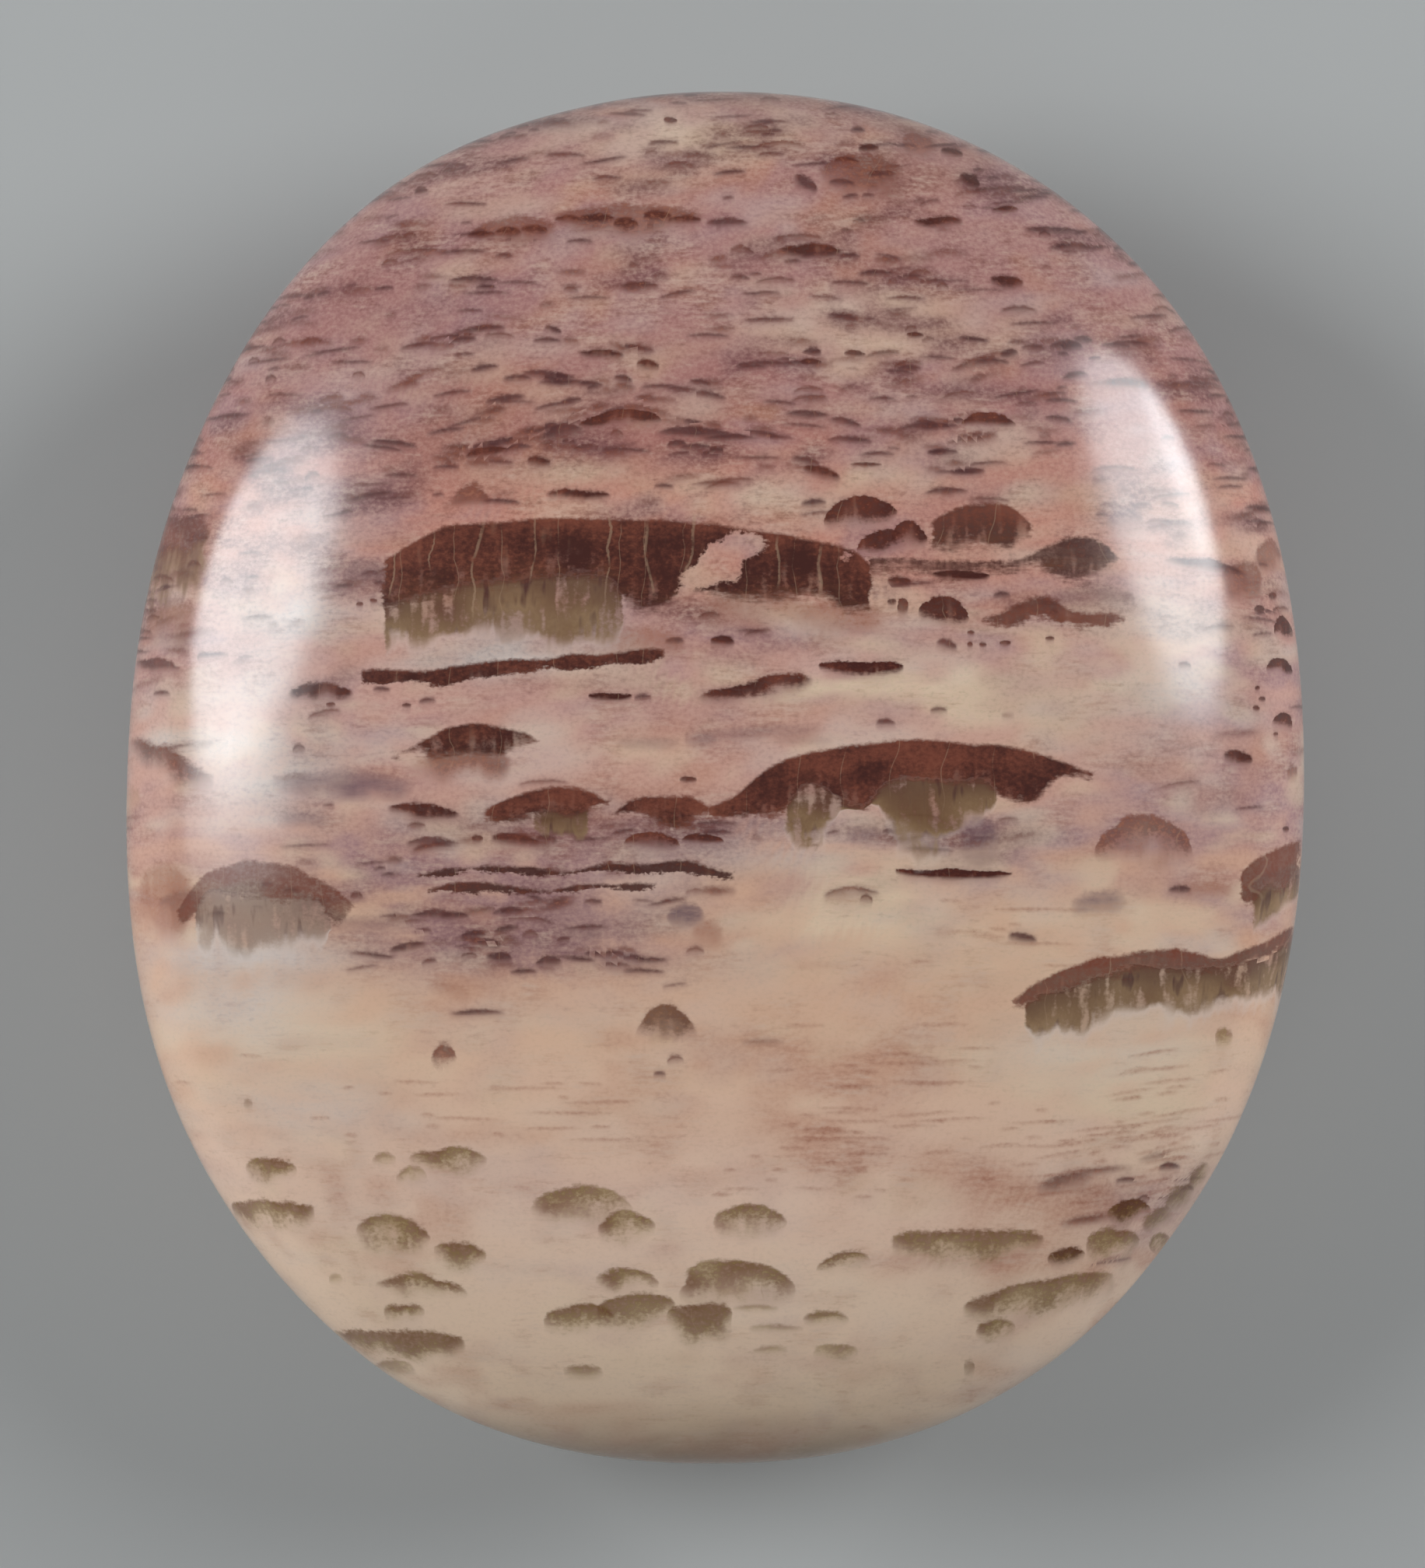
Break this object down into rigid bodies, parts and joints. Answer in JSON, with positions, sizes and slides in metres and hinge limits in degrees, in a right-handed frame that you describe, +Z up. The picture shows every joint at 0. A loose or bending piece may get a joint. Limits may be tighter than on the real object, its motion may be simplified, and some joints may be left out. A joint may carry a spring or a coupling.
{
  "type": "strata jasper palm stone",
  "caption": "Flattened oval pebble of banded jasper, polished all over, that lies on a small flat spot.",
  "frame": {"origin": "middle of the stone's box, on the plane of the flat spot that it lies on", "axes": "+Z up, out of the polished dome; +Y along the stone's length, towards its mauve end, across the rock layers; +X along the layers"},
  "size_m": [0.0598, 0.0698, 0.0222],
  "materials": {
    "polished_jasper": "polished stone with mauve, cream and brown layers"
  },
  "bodies": {
    "root": {"jasper_stone": "polished_jasper"}
  },
  "joints": []
}
